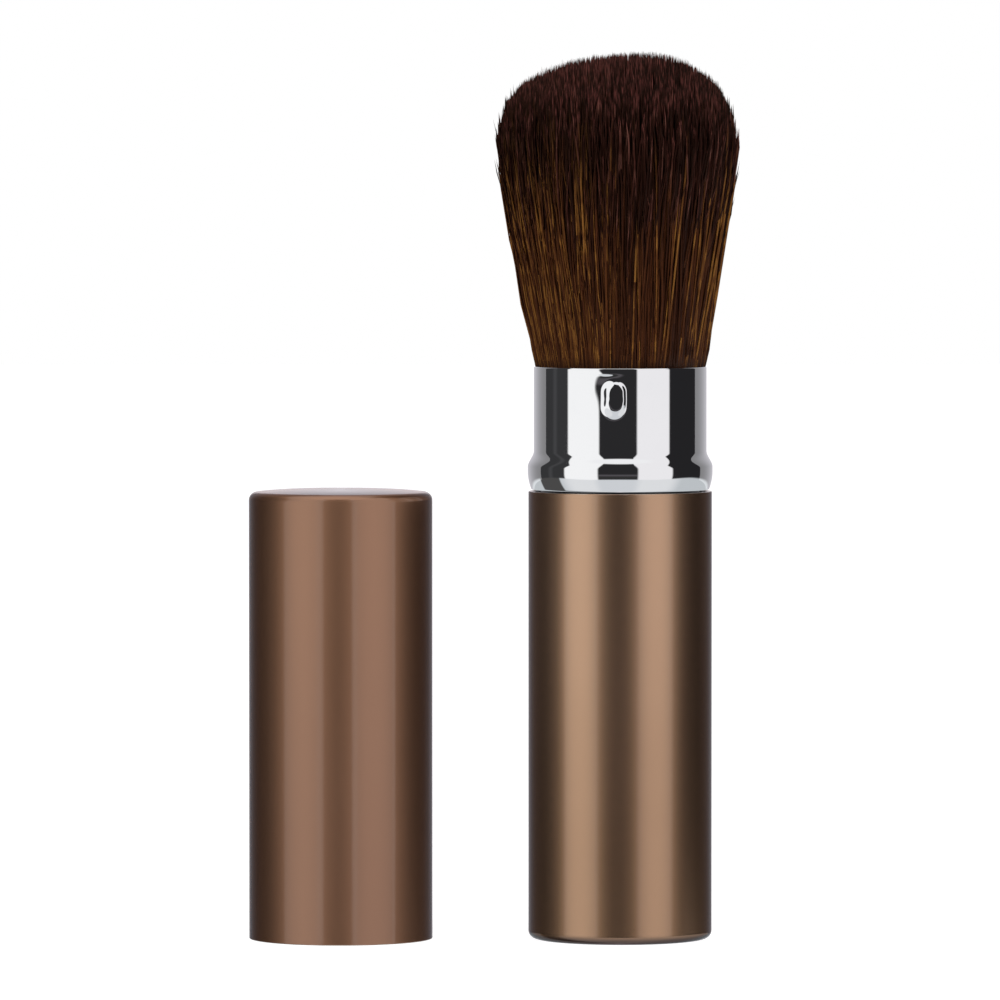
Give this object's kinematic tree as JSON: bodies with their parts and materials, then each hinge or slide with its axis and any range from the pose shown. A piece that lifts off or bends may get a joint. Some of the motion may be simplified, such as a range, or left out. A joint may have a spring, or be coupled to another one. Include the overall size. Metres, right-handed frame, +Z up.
{
  "type": "retractable makeup brush",
  "caption": "Slim retractable makeup brush: a domed hair tuft that a chrome collar and sleeve slide over, on a round metal handle, with its matching metal cap beside it.",
  "frame": {"origin": "centre of the handle's flat closed end, on the brush's long axis, where the brush stands on a table", "axes": "+Z up the brush from the handle to the hair, +X from the cap towards the brush, -Y towards the viewer of the picture"},
  "size_m": [0.0591, 0.0292, 0.106],
  "materials": {
    "bronze_anodised": "satin anodised, warm bronze",
    "bright_chrome": "mirror bright plating",
    "zinc_plated_steel": "plain zinc plated",
    "bright_aluminium": "bright drawn",
    "black_plastic": "moulded, slightly waxy",
    "natural_plastic": "moulded, uncoloured",
    "amber_resin": "cast epoxy",
    "waxed_thread": "wound and waxed",
    "dark_brown_hair": "soft dark brown hair with reddish tips"
  },
  "bodies": {
    "handle": {"handle_shell": "bronze_anodised", "base_weight": "zinc_plated_steel", "handle_liner": "black_plastic", "rod_screw": "zinc_plated_steel", "screw_washer": "zinc_plated_steel", "push_rod": "natural_plastic", "ferrule": "bright_aluminium", "resin_plug": "amber_resin", "root_thread": "waxed_thread", "hair_tuft": "dark_brown_hair"},
    "sleeve": {"inner_sleeve": "black_plastic", "collar": "bright_chrome"},
    "cap": {"cap_shell": "bronze_anodised"}
  },
  "joints": [
    {"name": "sleeve_slide", "type": "slide", "parent": "handle", "child": "sleeve", "axis": [0, 0, 1], "range_m": [0, 0.038], "deforming": ["hair_tuft"]},
    {"name": "cap_lift", "type": "slide", "parent": "handle", "child": "cap", "axis": [0, 0, 1], "range_m": [0, 0.11]}
  ]
}
